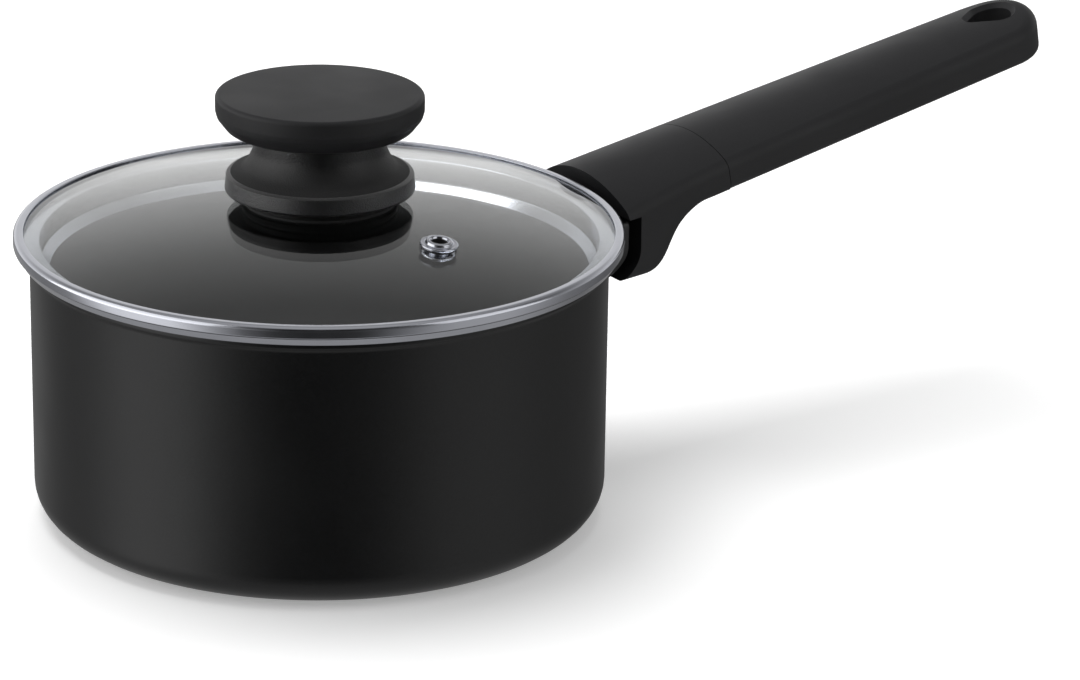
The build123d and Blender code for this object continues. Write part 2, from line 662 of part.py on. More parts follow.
with BuildPart() as knob_cap:
    with BuildSketch(Plane.XZ):
        with BuildLine():
            socket_r = neck_r + slip_gap
            socket_top = neck_top + slip_gap
            spigot_top = cap_top - cap_floor
            dish = (socket_r + cap_lap, cap_under - cap_lap / 4)
            side_low = (cap_r - cap_taper, cap_low)
            spigot_low = socket_top - spigot_len
            Polyline((cap_r - cap_edge, cap_top), (0, cap_top), (0, spigot_top),
                     (spigot_r - spigot_t, spigot_top),
                     (spigot_r - spigot_t, spigot_low), (spigot_r, spigot_low),
                     (spigot_r, socket_top), (socket_r, socket_top), (socket_r, cap_under), dish)
            curl = (cap_r - cap_curl[0], cap_under + cap_curl[1])
            Spline(dish, curl, side_low, tangents=((1, 0.15), (0.55, 1)))
            Line(side_low, (cap_r, cap_top - cap_edge))
            bow = cap_edge * (1 - sin(pi / 4))
            ThreePointArc((cap_r, cap_top - cap_edge), (cap_r - bow, cap_top - bow),
                          (cap_r - cap_edge, cap_top))
        make_face()
    revolve(axis=Axis.Z)
knob_cap.part.label = "knob_cap"
export_step(knob_cap.part, "parts/knob_cap.step")

with BuildPart() as knob_insert:
    with BuildSketch(Plane.XY.offset(boss_low)):
        Circle(insert_r)
        Circle(knob_screw_r + press_gap, mode=Mode.SUBTRACT)
    extrude(amount=insert_len)
knob_insert.part.label = "knob_insert"
export_step(knob_insert.part, "parts/knob_insert.step")

with BuildPart() as knob_gasket:
    with BuildSketch(Plane.XY.offset(foot_low)):
        Circle(knob_foot_r - gasket_in)
        Circle(knob_foot_r - gasket_in - gasket_w, mode=Mode.SUBTRACT)
    extrude(amount=dome(knob_foot_r) - foot_low)
    with Locations((0, 0, dome_top - dome_r)):
        Sphere(dome_r, mode=Mode.SUBTRACT)
knob_gasket.part.label = "knob_gasket"
export_step(knob_gasket.part, "parts/knob_gasket.step")

# silicone grommet: a flange under the glass and a sleeve in its hole
with BuildPart() as knob_grommet:
    with Locations((0, 0, under_top - grommet_t)):
        Cylinder(grommet_r, 2 * grommet_t, align=up_from)
    with Locations((0, 0, under_top - under_r_dome)):
        Sphere(under_r_dome, mode=Mode.INTERSECT)
    with BuildSketch(Plane.XY.offset(under_top - grommet_t)):
        Circle(screw_hole_r - press_gap)
    extrude(amount=glass_t + grommet_t)
    with BuildSketch(Plane.XY.offset(under_top - grommet_t)):
        Circle(knob_screw_r + slip_gap)
    extrude(amount=3 * glass_t, mode=Mode.SUBTRACT)
knob_grommet.part.label = "knob_grommet"
export_step(knob_grommet.part, "parts/knob_grommet.step")

with BuildPart() as knob_washer:
    with BuildSketch(Plane.XY.offset(under_top - grommet_t - washer_t)):
        Circle(washer_r)
        Circle(knob_screw_r + slip_gap, mode=Mode.SUBTRACT)
    extrude(amount=washer_t)
    rims = knob_washer.edges().filter_by(GeomType.CIRCLE)
    fillet(rims.filter_by(lambda e: e.radius > washer_r - press_gap), washer_t / 4)
knob_washer.part.label = "knob_washer"
export_step(knob_washer.part, "parts/knob_washer.step")

with BuildPart() as knob_screw:
    head_top = under_top - grommet_t - washer_t
    with BuildSketch(Plane.XY.offset(head_top - knob_screw_head_t)):
        Circle(knob_screw_head_r)
    extrude(amount=knob_screw_head_t)
    fillet(knob_screw.edges().sort_by(Axis.Z)[0], knob_screw_head_t * 0.45)
    with BuildSketch(Plane.XY.offset(head_top - knob_screw_head_t)):
        Rectangle(*knob_screw_slot)
        Rectangle(knob_screw_slot[1], knob_screw_slot[0])
    extrude(amount=knob_screw_head_t * 0.6, mode=Mode.SUBTRACT)
    with BuildSketch(Plane.XY.offset(head_top)):
        Circle(knob_screw_r)
    extrude(amount=knob_screw_len)
knob_screw.part.label = "knob_screw"
export_step(knob_screw.part, "parts/knob_screw.step")
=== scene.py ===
import math

import bpy
from mathutils import Matrix, Vector


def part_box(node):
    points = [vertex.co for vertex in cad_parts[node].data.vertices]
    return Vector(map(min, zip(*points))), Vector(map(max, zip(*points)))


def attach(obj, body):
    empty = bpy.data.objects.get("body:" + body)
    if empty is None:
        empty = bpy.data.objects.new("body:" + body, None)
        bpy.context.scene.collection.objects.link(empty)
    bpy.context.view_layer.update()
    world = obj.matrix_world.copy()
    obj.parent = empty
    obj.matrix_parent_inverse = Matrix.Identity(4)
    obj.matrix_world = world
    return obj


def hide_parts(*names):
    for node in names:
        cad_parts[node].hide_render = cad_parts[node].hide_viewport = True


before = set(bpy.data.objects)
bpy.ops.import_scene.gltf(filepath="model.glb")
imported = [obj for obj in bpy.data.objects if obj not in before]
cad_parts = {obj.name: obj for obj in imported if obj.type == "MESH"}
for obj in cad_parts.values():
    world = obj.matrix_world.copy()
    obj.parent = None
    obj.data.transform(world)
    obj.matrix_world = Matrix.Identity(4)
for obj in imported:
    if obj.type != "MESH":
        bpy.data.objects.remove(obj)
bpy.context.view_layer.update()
print("frame loaded:", len(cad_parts), "nodes")

mm = 0.001


def linearColor(hexText):
    # sRGB hex to linear
    channels = [int(hexText[i:i + 2], 16) / 255 for i in (1, 3, 5)]
    return [c / 12.92 if c <= 0.04045 else ((c + 0.055) / 1.055) ** 2.4 for c in channels] + [1.0]


def addNode(tree, kind, settings=None, links=None):
    node = tree.nodes.new(kind)
    for name, value in (settings or {}).items():
        if isinstance(name, str) and hasattr(node, name):
            setattr(node, name, value)
        else:
            node.inputs[name].default_value = value
    for name, source in (links or {}).items():
        tree.links.new(source, node.inputs[name])
    return node


def startMaterial(name, color, roughness, metallic=0.0):
    material = bpy.data.materials.new(name)
    material.use_nodes = True
    shader = material.node_tree.nodes["Principled BSDF"]
    shader.inputs["Base Color"].default_value = linearColor(color)
    shader.inputs["Roughness"].default_value = roughness
    shader.inputs["Metallic"].default_value = metallic
    return material, material.node_tree, shader


def softened(corners, closed=False):
    # corners are (radius, height, rounding) in millimetres, and each rounding becomes a short arc
    points = []
    for i, (r, z, rounding) in enumerate(corners):
        here = Vector((r, z))
        if rounding <= 0 or (not closed and i in (0, len(corners) - 1)):
            points.append(here)
            continue
        toBefore = Vector(corners[i - 1][:2]) - here
        toAfter = Vector(corners[(i + 1) % len(corners)][:2]) - here
        turn = math.pi - toBefore.angle(toAfter)
        reach = min(rounding * math.tan(turn / 2), 0.49 * toBefore.length, 0.49 * toAfter.length)
        toBefore.normalize()
        toAfter.normalize()
        arcRadius = reach / math.tan(turn / 2)
        centre = here + (toBefore + toAfter).normalized() * arcRadius / math.cos(turn / 2)
        first, last = here + toBefore * reach - centre, here + toAfter * reach - centre
        steps = max(2, math.ceil(math.degrees(turn) / 10))
        for k in range(steps + 1):
            t = k / steps
            swing = first * math.sin((1 - t) * turn) + last * math.sin(t * turn)
            points.append(centre + swing / math.sin(turn))
    return points


def turned(name, profile, steps=256, sharpAngle=32, closed=False):
    # one vertex drawn out along the profile, then spun round the upright axis
    bpy.ops.object.select_all(action="DESELECT")
    bpy.ops.mesh.primitive_plane_add(size=mm)
    piece = bpy.context.object
    piece.name = piece.data.name = name
    bpy.ops.object.mode_set(mode="EDIT")
    bpy.ops.mesh.select_mode(type="VERT")
    bpy.ops.mesh.select_all(action="SELECT")
    bpy.ops.mesh.merge(type="CENTER")
    bpy.ops.transform.translate(value=(profile[0].x * mm, 0, profile[0].y * mm))
    path = profile + [profile[0]] if closed else profile
    for start, end in zip(path, path[1:]):
        move = (end - start) * mm
        bpy.ops.mesh.extrude_region_move(TRANSFORM_OT_translate={"value": (move.x, 0, move.y)})
    bpy.ops.mesh.select_all(action="SELECT")
    bpy.ops.mesh.remove_doubles(threshold=1e-7)
    bpy.ops.mesh.select_all(action="SELECT")
    bpy.ops.mesh.spin(steps=steps, angle=2 * math.pi, center=(0, 0, 0), axis=(0, 0, 1))
    bpy.ops.mesh.select_all(action="SELECT")
    bpy.ops.mesh.remove_doubles(threshold=1e-6)
    bpy.ops.mesh.normals_make_consistent(inside=False)
    bpy.ops.object.mode_set(mode="OBJECT")
    bpy.ops.object.shade_smooth_by_angle(angle=math.radians(sharpAngle))
    return piece


def finishPiece(piece, material, body, node):
    piece.data.materials.clear()
    piece.data.materials.append(material)
    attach(piece, body)
    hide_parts(node)


def top(node):
    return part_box(node)[1][2] / mm


def low(node):
    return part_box(node)[0][2] / mm


def outer(node):
    return (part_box(node)[1][0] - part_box(node)[0][0]) / 2 / mm


# Black satin lacquer, sprayed and baked on pressed aluminium: a soft sheen with a fine orange peel.
satinLacquer, tree, shader = startMaterial("satinLacquer", "#08080a", 0.33)
place = addNode(tree, "ShaderNodeTexCoord")
peel = addNode(tree, "ShaderNodeTexNoise", {"Scale": 1 / (0.7 * mm), "Detail": 3.0, "Roughness": 0.6},
               {"Vector": place.outputs["Object"]})  # droplets 0.7 mm wide
cloud = addNode(tree, "ShaderNodeTexNoise", {"Scale": 1 / (28 * mm), "Detail": 2.0},
                {"Vector": place.outputs["Object"]})
sheen = addNode(tree, "ShaderNodeMapRange",
                {"From Min": 0.3, "From Max": 0.7, "To Min": 0.30, "To Max": 0.37},
                {"Value": cloud.outputs["Fac"]})
speck = addNode(tree, "ShaderNodeMapRange",
                {"From Min": 0.35, "From Max": 0.75, "To Min": 0.0, "To Max": 1.0},
                {"Value": peel.outputs["Fac"]})
tone = addNode(tree, "ShaderNodeMix",
               {"data_type": "RGBA", 6: linearColor("#050506"), 7: linearColor("#0e0f10")},
               {0: speck.outputs["Result"]})
bump = addNode(tree, "ShaderNodeBump", {"Strength": 0.16, "Distance": 0.05 * mm},
               {"Height": peel.outputs["Fac"]})
tree.links.new(tone.outputs[2], shader.inputs["Base Color"])
tree.links.new(sheen.outputs["Result"], shader.inputs["Roughness"])
tree.links.new(bump.outputs["Normal"], shader.inputs["Normal"])

# Non-stick coating, rolled on before pressing: darker and duller, with a mineral speckle.
nonStick, tree, shader = startMaterial("nonStickCoating", "#171718", 0.46)
place = addNode(tree, "ShaderNodeTexCoord")
grit = addNode(tree, "ShaderNodeTexVoronoi", {"Scale": 1 / (1.6 * mm), "Randomness": 1.0},
               {"Vector": place.outputs["Object"]})
fleck = addNode(tree, "ShaderNodeMapRange",
                {"From Min": 0.10, "From Max": 0.16, "To Min": 1.0, "To Max": 0.0},
                {"Value": grit.outputs["Distance"]})
tone = addNode(tree, "ShaderNodeMix",
               {"data_type": "RGBA", 6: linearColor("#161617"), 7: linearColor("#2b2b2d")},
               {0: fleck.outputs["Result"]})
film = addNode(tree, "ShaderNodeTexNoise", {"Scale": 1 / (0.9 * mm), "Detail": 3.0},
               {"Vector": place.outputs["Object"]})
bump = addNode(tree, "ShaderNodeBump", {"Strength": 0.2, "Distance": 0.05 * mm},
               {"Height": film.outputs["Fac"]})
tree.links.new(tone.outputs[2], shader.inputs["Base Color"])
tree.links.new(bump.outputs["Normal"], shader.inputs["Normal"])

# Stainless strip, rolled round and polished on a wheel: a near mirror with faint lines round the band.
polishedSteel, tree, shader = startMaterial("polishedStainless", "#caccd4", 0.16, 1.0)
place = addNode(tree, "ShaderNodeTexCoord")
split = addNode(tree, "ShaderNodeSeparateXYZ", {}, {"Vector": place.outputs["Object"]})
flat = addNode(tree, "ShaderNodeCombineXYZ", {}, {"X": split.outputs["X"], "Y": split.outputs["Y"]})
radius = addNode(tree, "ShaderNodeVectorMath", {"operation": "LENGTH"}, {0: flat.outputs["Vector"]})
ringPlace = addNode(tree, "ShaderNodeCombineXYZ", {}, {"X": radius.outputs["Value"], "Z": split.outputs["Z"]})
lines = addNode(tree, "ShaderNodeTexNoise", {"Scale": 1 / (0.35 * mm), "Detail": 2.0},
                {"Vector": ringPlace.outputs["Vector"]})
smear = addNode(tree, "ShaderNodeTexNoise", {"Scale": 1 / (9 * mm), "Detail": 3.0},
                {"Vector": place.outputs["Object"]})
mixed = addNode(tree, "ShaderNodeMath", {"operation": "MULTIPLY_ADD", 1: 0.5},
                {0: lines.outputs["Fac"], 2: smear.outputs["Fac"]})
gloss = addNode(tree, "ShaderNodeMapRange",
                {"From Min": 0.4, "From Max": 1.1, "To Min": 0.10, "To Max": 0.24},
                {"Value": mixed.outputs["Value"]})
bump = addNode(tree, "ShaderNodeBump", {"Strength": 0.05, "Distance": 0.02 * mm},
               {"Height": lines.outputs["Fac"]})
tree.links.new(gloss.outputs["Result"], shader.inputs["Roughness"])
tree.links.new(bump.outputs["Normal"], shader.inputs["Normal"])

# Stamped and brushed steel for the inner metalwork and the base disc: dull lines round the axis.
brushedSteel, tree, shader = startMaterial("brushedSteel", "#a9a9ad", 0.34, 1.0)
place = addNode(tree, "ShaderNodeTexCoord")
split = addNode(tree, "ShaderNodeSeparateXYZ", {}, {"Vector": place.outputs["Object"]})
flat = addNode(tree, "ShaderNodeCombineXYZ", {}, {"X": split.outputs["X"], "Y": split.outputs["Y"]})
radius = addNode(tree, "ShaderNodeVectorMath", {"operation": "LENGTH"}, {0: flat.outputs["Vector"]})
lines = addNode(tree, "ShaderNodeTexNoise",
                {"noise_dimensions": "1D", "Scale": 1 / (0.4 * mm), "Detail": 2.0},
                {"W": radius.outputs["Value"]})
gloss = addNode(tree, "ShaderNodeMapRange",
                {"From Min": 0.3, "From Max": 0.7, "To Min": 0.26, "To Max": 0.42},
                {"Value": lines.outputs["Fac"]})
bump = addNode(tree, "ShaderNodeBump", {"Strength": 0.25, "Distance": 0.03 * mm},
               {"Height": lines.outputs["Fac"]})
tree.links.new(gloss.outputs["Result"], shader.inputs["Roughness"])
tree.links.new(bump.outputs["Normal"], shader.inputs["Normal"])

# Glass-filled nylon with a soft-touch paint, for handle and cap: matt, even, with a very fine grain.
softTouch, tree, shader = startMaterial("softTouchNylon", "#1c1c1d", 0.52)
shader.inputs["Specular IOR Level"].default_value = 0.36
place = addNode(tree, "ShaderNodeTexCoord")
grain = addNode(tree, "ShaderNodeTexNoise", {"Scale": 1 / (0.45 * mm), "Detail": 3.0, "Roughness": 0.65},
                {"Vector": place.outputs["Object"]})
cloud = addNode(tree, "ShaderNodeTexNoise", {"Scale": 1 / (22 * mm), "Detail": 2.0},
                {"Vector": place.outputs["Object"]})
dull = addNode(tree, "ShaderNodeMapRange", {"From Min": 0.3, "From Max": 0.7, "To Min": 0.48, "To Max": 0.57},
               {"Value": cloud.outputs["Fac"]})
tone = addNode(tree, "ShaderNodeMix",
               {"data_type": "RGBA", 6: linearColor("#19191a"), 7: linearColor("#202022")},
               {0: grain.outputs["Fac"]})
bump = addNode(tree, "ShaderNodeBump", {"Strength": 0.22, "Distance": 0.05 * mm},
               {"Height": grain.outputs["Fac"]})
tree.links.new(tone.outputs[2], shader.inputs["Base Color"])
tree.links.new(dull.outputs["Result"], shader.inputs["Roughness"])
tree.links.new(bump.outputs["Normal"], shader.inputs["Normal"])

# Spark-eroded mould texture on hard black phenolic, for the knob's flange and the guard: grains that glint.
# The real grains are about 0.15 mm, and they're drawn 0.4 mm wide so that they show.
grainedPlastic, tree, shader = startMaterial("grainedPhenolic", "#0c0c0d", 0.34)
shader.inputs["Specular IOR Level"].default_value = 0.75
place = addNode(tree, "ShaderNodeTexCoord")
grain = addNode(tree, "ShaderNodeTexVoronoi",
                {"feature": "SMOOTH_F1", "Scale": 1 / (0.42 * mm), "Smoothness": 0.3},
                {"Vector": place.outputs["Object"]})
fine = addNode(tree, "ShaderNodeTexNoise", {"Scale": 1 / (0.22 * mm), "Detail": 2.0},
               {"Vector": place.outputs["Object"]})
height = addNode(tree, "ShaderNodeMath", {"operation": "MULTIPLY_ADD", 1: 0.6},
                 {0: fine.outputs["Fac"], 2: grain.outputs["Distance"]})
bump = addNode(tree, "ShaderNodeBump", {"Strength": 0.9, "Distance": 0.09 * mm},
               {"Height": height.outputs["Value"]})
tree.links.new(bump.outputs["Normal"], shader.inputs["Normal"])

# The same grain on the neck, duller towards the flare, which the cap shades. Depths are below the neck's top.
neckShade = {"dullest": 13.0, "clear": 5.0}
dullingGrain = grainedPlastic.copy()
dullingGrain.name = "grainedPhenolicDulling"
tree = dullingGrain.node_tree
shader = tree.nodes["Principled BSDF"]
shader.inputs["Specular IOR Level"].default_value = 0.5
place = addNode(tree, "ShaderNodeTexCoord")
split = addNode(tree, "ShaderNodeSeparateXYZ", {}, {"Vector": place.outputs["Object"]})
dullFrom = (top("knob_base") - neckShade["dullest"]) * mm
dullTo = (top("knob_base") - neckShade["clear"]) * mm
dull = addNode(tree, "ShaderNodeMapRange",
               {"From Min": dullFrom, "From Max": dullTo, "To Min": 0.75, "To Max": 0.33},
               {"Value": split.outputs["Z"]})
tree.links.new(dull.outputs["Result"], shader.inputs["Roughness"])

# The same phenolic under the flange, with no grain and darker: the darker colour is painted shade from the
# flange overhead.
plainPaintedShadePlastic, tree, shader = startMaterial("plainPhenolicPaintedShade", "#050505", 0.5)
shader.inputs["Specular IOR Level"].default_value = 0.3
place = addNode(tree, "ShaderNodeTexCoord")
cloud = addNode(tree, "ShaderNodeTexNoise", {"Scale": 1 / (6 * mm), "Detail": 2.0},
                {"Vector": place.outputs["Object"]})
dull = addNode(tree, "ShaderNodeMapRange", {"To Min": 0.46, "To Max": 0.58}, {"Value": cloud.outputs["Fac"]})
tree.links.new(dull.outputs["Result"], shader.inputs["Roughness"])

# Tempered soda-lime glass, pressed over a mould: clear and colourless, with a slow ripple.
clearGlass, tree, shader = startMaterial("temperedGlass", "#fafcfc", 0.0)
shader.inputs["Transmission Weight"].default_value = 1.0
shader.inputs["IOR"].default_value = 1.52
place = addNode(tree, "ShaderNodeTexCoord")
ripple = addNode(tree, "ShaderNodeTexNoise", {"Scale": 1 / (60 * mm), "Detail": 1.0},
                 {"Vector": place.outputs["Object"]})
bump = addNode(tree, "ShaderNodeBump", {"Strength": 0.04, "Distance": 0.2 * mm},
               {"Height": ripple.outputs["Fac"]})
tree.links.new(bump.outputs["Normal"], shader.inputs["Normal"])

# Moulded silicone: dull and slightly dusty.
silicone, tree, shader = startMaterial("mouldedSilicone", "#202021", 0.7)
place = addNode(tree, "ShaderNodeTexCoord")
dust = addNode(tree, "ShaderNodeTexNoise", {"Scale": 1 / (1.2 * mm), "Detail": 3.0},
               {"Vector": place.outputs["Object"]})
dull = addNode(tree, "ShaderNodeMapRange", {"To Min": 0.62, "To Max": 0.8}, {"Value": dust.outputs["Fac"]})
tree.links.new(dull.outputs["Result"], shader.inputs["Roughness"])

# Turned brass: warm, with tool lines.
turnedBrass, tree, shader = startMaterial("turnedBrass", "#c9a35a", 0.3, 1.0)
place = addNode(tree, "ShaderNodeTexCoord")
split = addNode(tree, "ShaderNodeSeparateXYZ", {}, {"Vector": place.outputs["Object"]})
lines = addNode(tree, "ShaderNodeTexNoise", {"noise_dimensions": "1D", "Scale": 1 / (0.3 * mm)},
                {"W": split.outputs["Z"]})
gloss = addNode(tree, "ShaderNodeMapRange", {"To Min": 0.22, "To Max": 0.42}, {"Value": lines.outputs["Fac"]})
tree.links.new(gloss.outputs["Result"], shader.inputs["Roughness"])
print("materials made:", len(bpy.data.materials))


panSizes = {"wall": 2.5, "base": 4.0, "corner": 13.0, "rimOut": 0.9, "rimDrop": 2.4, "rimLip": 1.3,
            "rimRound": 0.9, "discGap": 0.05, "discDepth": 1.0, "coatBelow": 0.1, "coatOutside": 0.3}
rimR, rimZ = outer("pan_body"), top("pan_body")
wallR = rimR - panSizes["rimOut"]
insideR = wallR - panSizes["wall"]
pocketR = outer("induction_plate") + panSizes["discGap"]
panProfile = softened([
    (0, panSizes["discDepth"], 0), (pocketR, panSizes["discDepth"], 0), (pocketR, 0, 0.25),
    (wallR, 0, panSizes["corner"]), (wallR, rimZ - panSizes["rimDrop"], 1.6),
    (rimR, rimZ - panSizes["rimLip"], 0.8), (rimR, rimZ, panSizes["rimRound"]),
    (insideR, rimZ, panSizes["rimRound"]),
    (insideR, panSizes["base"], panSizes["corner"] - panSizes["wall"]), (0, panSizes["base"], 0)])
panShell = turned("panShell", panProfile)
finishPiece(panShell, satinLacquer, "pan", "pan_body")
panShell.data.materials.append(nonStick)
coatLow, coatR = panSizes["base"] - panSizes["coatBelow"], insideR + panSizes["coatOutside"]
for face in panShell.data.polygons:
    centre = face.center
    if centre.z > coatLow * mm and math.hypot(centre.x, centre.y) < coatR * mm:
        face.material_index = 1

discSizes = {"edge": 0.2, "land": 2.6, "groovePitch": 3.1, "grooveWidth": 0.5, "grooveDepth": 0.18,
             "grooveRound": 0.1, "dimple": 3.0, "dimpleDepth": 0.3}
discR, discTop = outer("induction_plate"), top("induction_plate")
grooveRound = discSizes["grooveRound"]
discProfile = [(0, discTop, 0), (discR, discTop, 0), (discR, 0, discSizes["edge"])]
grooveR = discR - discSizes["land"]
while grooveR > discSizes["dimple"] + discSizes["groovePitch"]:
    discProfile += [(grooveR, 0, grooveRound),
                    (grooveR - discSizes["grooveWidth"] / 2, discSizes["grooveDepth"], grooveRound),
                    (grooveR - discSizes["grooveWidth"], 0, grooveRound)]
    grooveR -= discSizes["groovePitch"]
discProfile += [(discSizes["dimple"], 0, grooveRound), (0, discSizes["dimpleDepth"], 0)]
baseDisc = turned("baseDisc", softened(discProfile), steps=192)
finishPiece(baseDisc, brushedSteel, "pan", "induction_plate")
print("pan made")


# The band is one rolled strip: lip, rounded edge, crease, tapering side, seat on the rim, skirt and hem.
bandSizes = {"sheet": 0.5, "lip": 2.9, "round": 1.9, "crease": 3.4, "creaseIn": 0.45, "taper": 1.8,
             "seatDrop": 5.7, "skirtGap": 0.6, "hemIn": 2.6, "hemLip": 0.6, "hemHeight": 2.3}
sheet = bandSizes["sheet"]
bandR, bandTop, bandLow = outer("lid_ring"), top("lid_ring"), low("lid_ring")
lipR = bandR - bandSizes["lip"]
creaseR, creaseZ = bandR - bandSizes["creaseIn"], bandTop - bandSizes["crease"]
taperR, seatZ = bandR - bandSizes["taper"], bandTop - bandSizes["seatDrop"]
skirtR, skirtLow = insideR - bandSizes["skirtGap"], bandLow + bandSizes["hemHeight"]
hemR = skirtR - bandSizes["hemIn"]
bandProfile = softened([
    (lipR, bandTop - sheet, 0.2), (lipR, bandTop, 0.22), (bandR, bandTop, bandSizes["round"]),
    (bandR, creaseZ + 0.3, 0.35), (creaseR, creaseZ - 0.15, 0.2), (taperR, seatZ, 0.45),
    (skirtR, seatZ, 0.5), (skirtR, skirtLow, 0.6), (hemR, bandLow, 0.25),
    (hemR - bandSizes["hemLip"], bandLow + 0.45, 0.2), (skirtR - sheet, skirtLow + 0.3, 0.6),
    (skirtR - sheet, seatZ + sheet, 0.3), (taperR - 0.3, seatZ + sheet, 0.3),
    (creaseR - sheet, creaseZ, 0.2), (bandR - sheet, creaseZ + 0.5, 0.3),
    (bandR - sheet, bandTop - sheet, 1.4)], closed=True)
lidBand = turned("lidBand", bandProfile, steps=288, closed=True)
finishPiece(lidBand, polishedSteel, "lid", "lid_ring")

glassSizes = {"thickness": 4.0, "rise": 9.0, "hole": 4.0, "rings": 40, "edgeOut": 0.35, "edgeIn": 0.6,
              "edgeDrop": 0.3, "edgeRound": 0.8, "edgeMiddle": 1.5}
hole, edgeRound = glassSizes["hole"], glassSizes["edgeRound"]
glassR = outer("lid_glass") - glassSizes["edgeOut"]
edgeR = glassR - glassSizes["edgeIn"]
domeR = (lipR ** 2 + glassSizes["rise"] ** 2) / (2 * glassSizes["rise"])
domeTop = top("lid_glass") + domeR - math.sqrt(domeR ** 2 - hole ** 2)
innerDomeR = domeR - glassSizes["thickness"]


def domeHeight(r, sphereR):
    return domeTop - domeR + math.sqrt(sphereR ** 2 - r ** 2)


upper, under = [], []
for k in range(glassSizes["rings"] + 1):
    r = hole + (edgeR - hole) * k / glassSizes["rings"]
    upper.append(Vector((r, domeHeight(r, domeR))))
    under.append(Vector((r, domeHeight(r, innerDomeR))))
edgeTop, edgeLow = domeHeight(glassR, domeR), domeHeight(glassR, innerDomeR)
edge = softened([
    (edgeR, edgeTop, 0), (glassR, edgeTop - glassSizes["edgeDrop"], edgeRound),
    (glassR + glassSizes["edgeOut"], (edgeTop + edgeLow) / 2, glassSizes["edgeMiddle"]),
    (glassR, edgeLow + glassSizes["edgeDrop"], edgeRound), (edgeR, edgeLow, 0)])
lidGlass = turned("lidGlass", upper[:-1] + edge + under[-2::-1], steps=256, closed=True, sharpAngle=50)
finishPiece(lidGlass, clearGlass, "lid", "lid_glass")
print("lid made")


capSizes = {"side": 6.3, "edge": 1.3, "dish": 5.2, "curlIn": 3.1, "curlUp": 1.6, "neck": 18.9, "gap": 0.3,
            "socketDepth": 1.5, "spigot": 14.8, "spigotWall": 2.3, "roof": 6}
capR, capTop = outer("knob_cap"), top("knob_cap")
capSide = capTop - capSizes["side"]
capUnder = capSide - capSizes["dish"]
socketR, socketTop = capSizes["neck"] + capSizes["gap"], capUnder + capSizes["socketDepth"]
spigotR, spigotLow = capSizes["spigot"], low("knob_cap")
spigotIn, roofZ = spigotR - capSizes["spigotWall"], capTop - capSizes["roof"]
capProfile = softened([
    (0, capTop, 0), (capR, capTop, capSizes["edge"]), (capR, capSide + 1.5, 2.0),
    (capR - 0.5, capSide - 0.2, 1.4), (capR - capSizes["curlIn"], capUnder + capSizes["curlUp"], 3.0),
    (socketR + 1.0, capUnder - 0.1, 2.0), (socketR, capUnder - 0.05, 0.2), (socketR, socketTop, 0),
    (spigotR, socketTop, 0), (spigotR, spigotLow, 0.3), (spigotIn, spigotLow, 0.3), (spigotIn, roofZ, 0.5),
    (0, roofZ, 0)])
knobCap = turned("knobCap", capProfile, sharpAngle=40)
finishPiece(knobCap, softTouch, "lid", "knob_cap")
knobCap.visible_glossy = knobCap.visible_transmission = False  # so that the glass mirrors the flange alone

# The flange and the neck are one moulding, in two pieces that meet just over the flange.
flangeSizes = {"foot": 22.3, "footWall": 2.7, "footGap": 0.2, "thick": 5.1, "up": 2.8, "shoulderIn": 1.7,
               "joint": 0.2, "boss": 7.0, "bossGap": 0.8, "bossHeight": 11.0, "hollow": 5.0, "bore": 4.05,
               "paintedShadeUp": 0.15}
boreR, bossR, footR = flangeSizes["bore"], flangeSizes["boss"], flangeSizes["foot"]
flangeR = outer("knob_base")
shoulderR = flangeR - flangeSizes["shoulderIn"]
footIn, footLow = footR - flangeSizes["footWall"], domeTop + flangeSizes["footGap"]
flangeLow = domeTop + flangeSizes["up"]
flangeTop = flangeLow + flangeSizes["thick"]
jointZ = flangeTop + flangeSizes["joint"]
bossLow = domeTop + flangeSizes["bossGap"]
bossTop = bossLow + flangeSizes["bossHeight"]
hollowTop = bossTop - flangeSizes["hollow"]
flangeProfile = softened([
    (boreR, jointZ, 0), (boreR, bossLow, 0.2), (bossR, bossLow, 0.4), (bossR, hollowTop, 0.5),
    (footIn, hollowTop, 0.5), (footIn, footLow, 0.2), (footR, footLow, 0.3), (footR, flangeLow - 0.9, 0.4),
    (flangeR - 2.5, flangeLow, 0.4), (flangeR - 0.3, flangeLow + 0.1, 0.35),
    (flangeR, flangeLow + 0.7, 0.5), (flangeR - 0.45, flangeTop - 0.3, 0.4),
    (shoulderR, jointZ, 0)], closed=True)
knobFlange = turned("knobFlange", flangeProfile, closed=True, sharpAngle=40)
finishPiece(knobFlange, grainedPlastic, "lid", "knob_base")
knobFlange.data.materials.append(plainPaintedShadePlastic)
# the faces under the flange take the darker phenolic, painted shade from the flange above them
for face in knobFlange.data.polygons:
    if face.center.z < (flangeLow + flangeSizes["paintedShadeUp"]) * mm:
        face.material_index = 1

neckSizes = {"flareOut": 2.6, "flareLow": 1.6, "flareLowRound": 5.0, "flareHigh": 7.0, "flareHighRound": 6.0}
neckR, neckTop = capSizes["neck"], top("knob_base")
cupR = spigotR + capSizes["gap"]
neckProfile = softened([
    (boreR, jointZ, 0), (shoulderR, jointZ, 0),
    (neckR + neckSizes["flareOut"], flangeTop + neckSizes["flareLow"], neckSizes["flareLowRound"]),
    (neckR, flangeTop + neckSizes["flareHigh"], neckSizes["flareHighRound"]),
    (neckR, neckTop, 0.3), (cupR, neckTop, 0.3), (cupR, bossTop, 0.4), (boreR, bossTop, 0.2)], closed=True)
knobNeck = turned("knobNeck", neckProfile, closed=True, sharpAngle=40)
finishPiece(knobNeck, dullingGrain, "lid", "knob_base")
knobNeck.visible_glossy = knobNeck.visible_transmission = False
print("knob made")


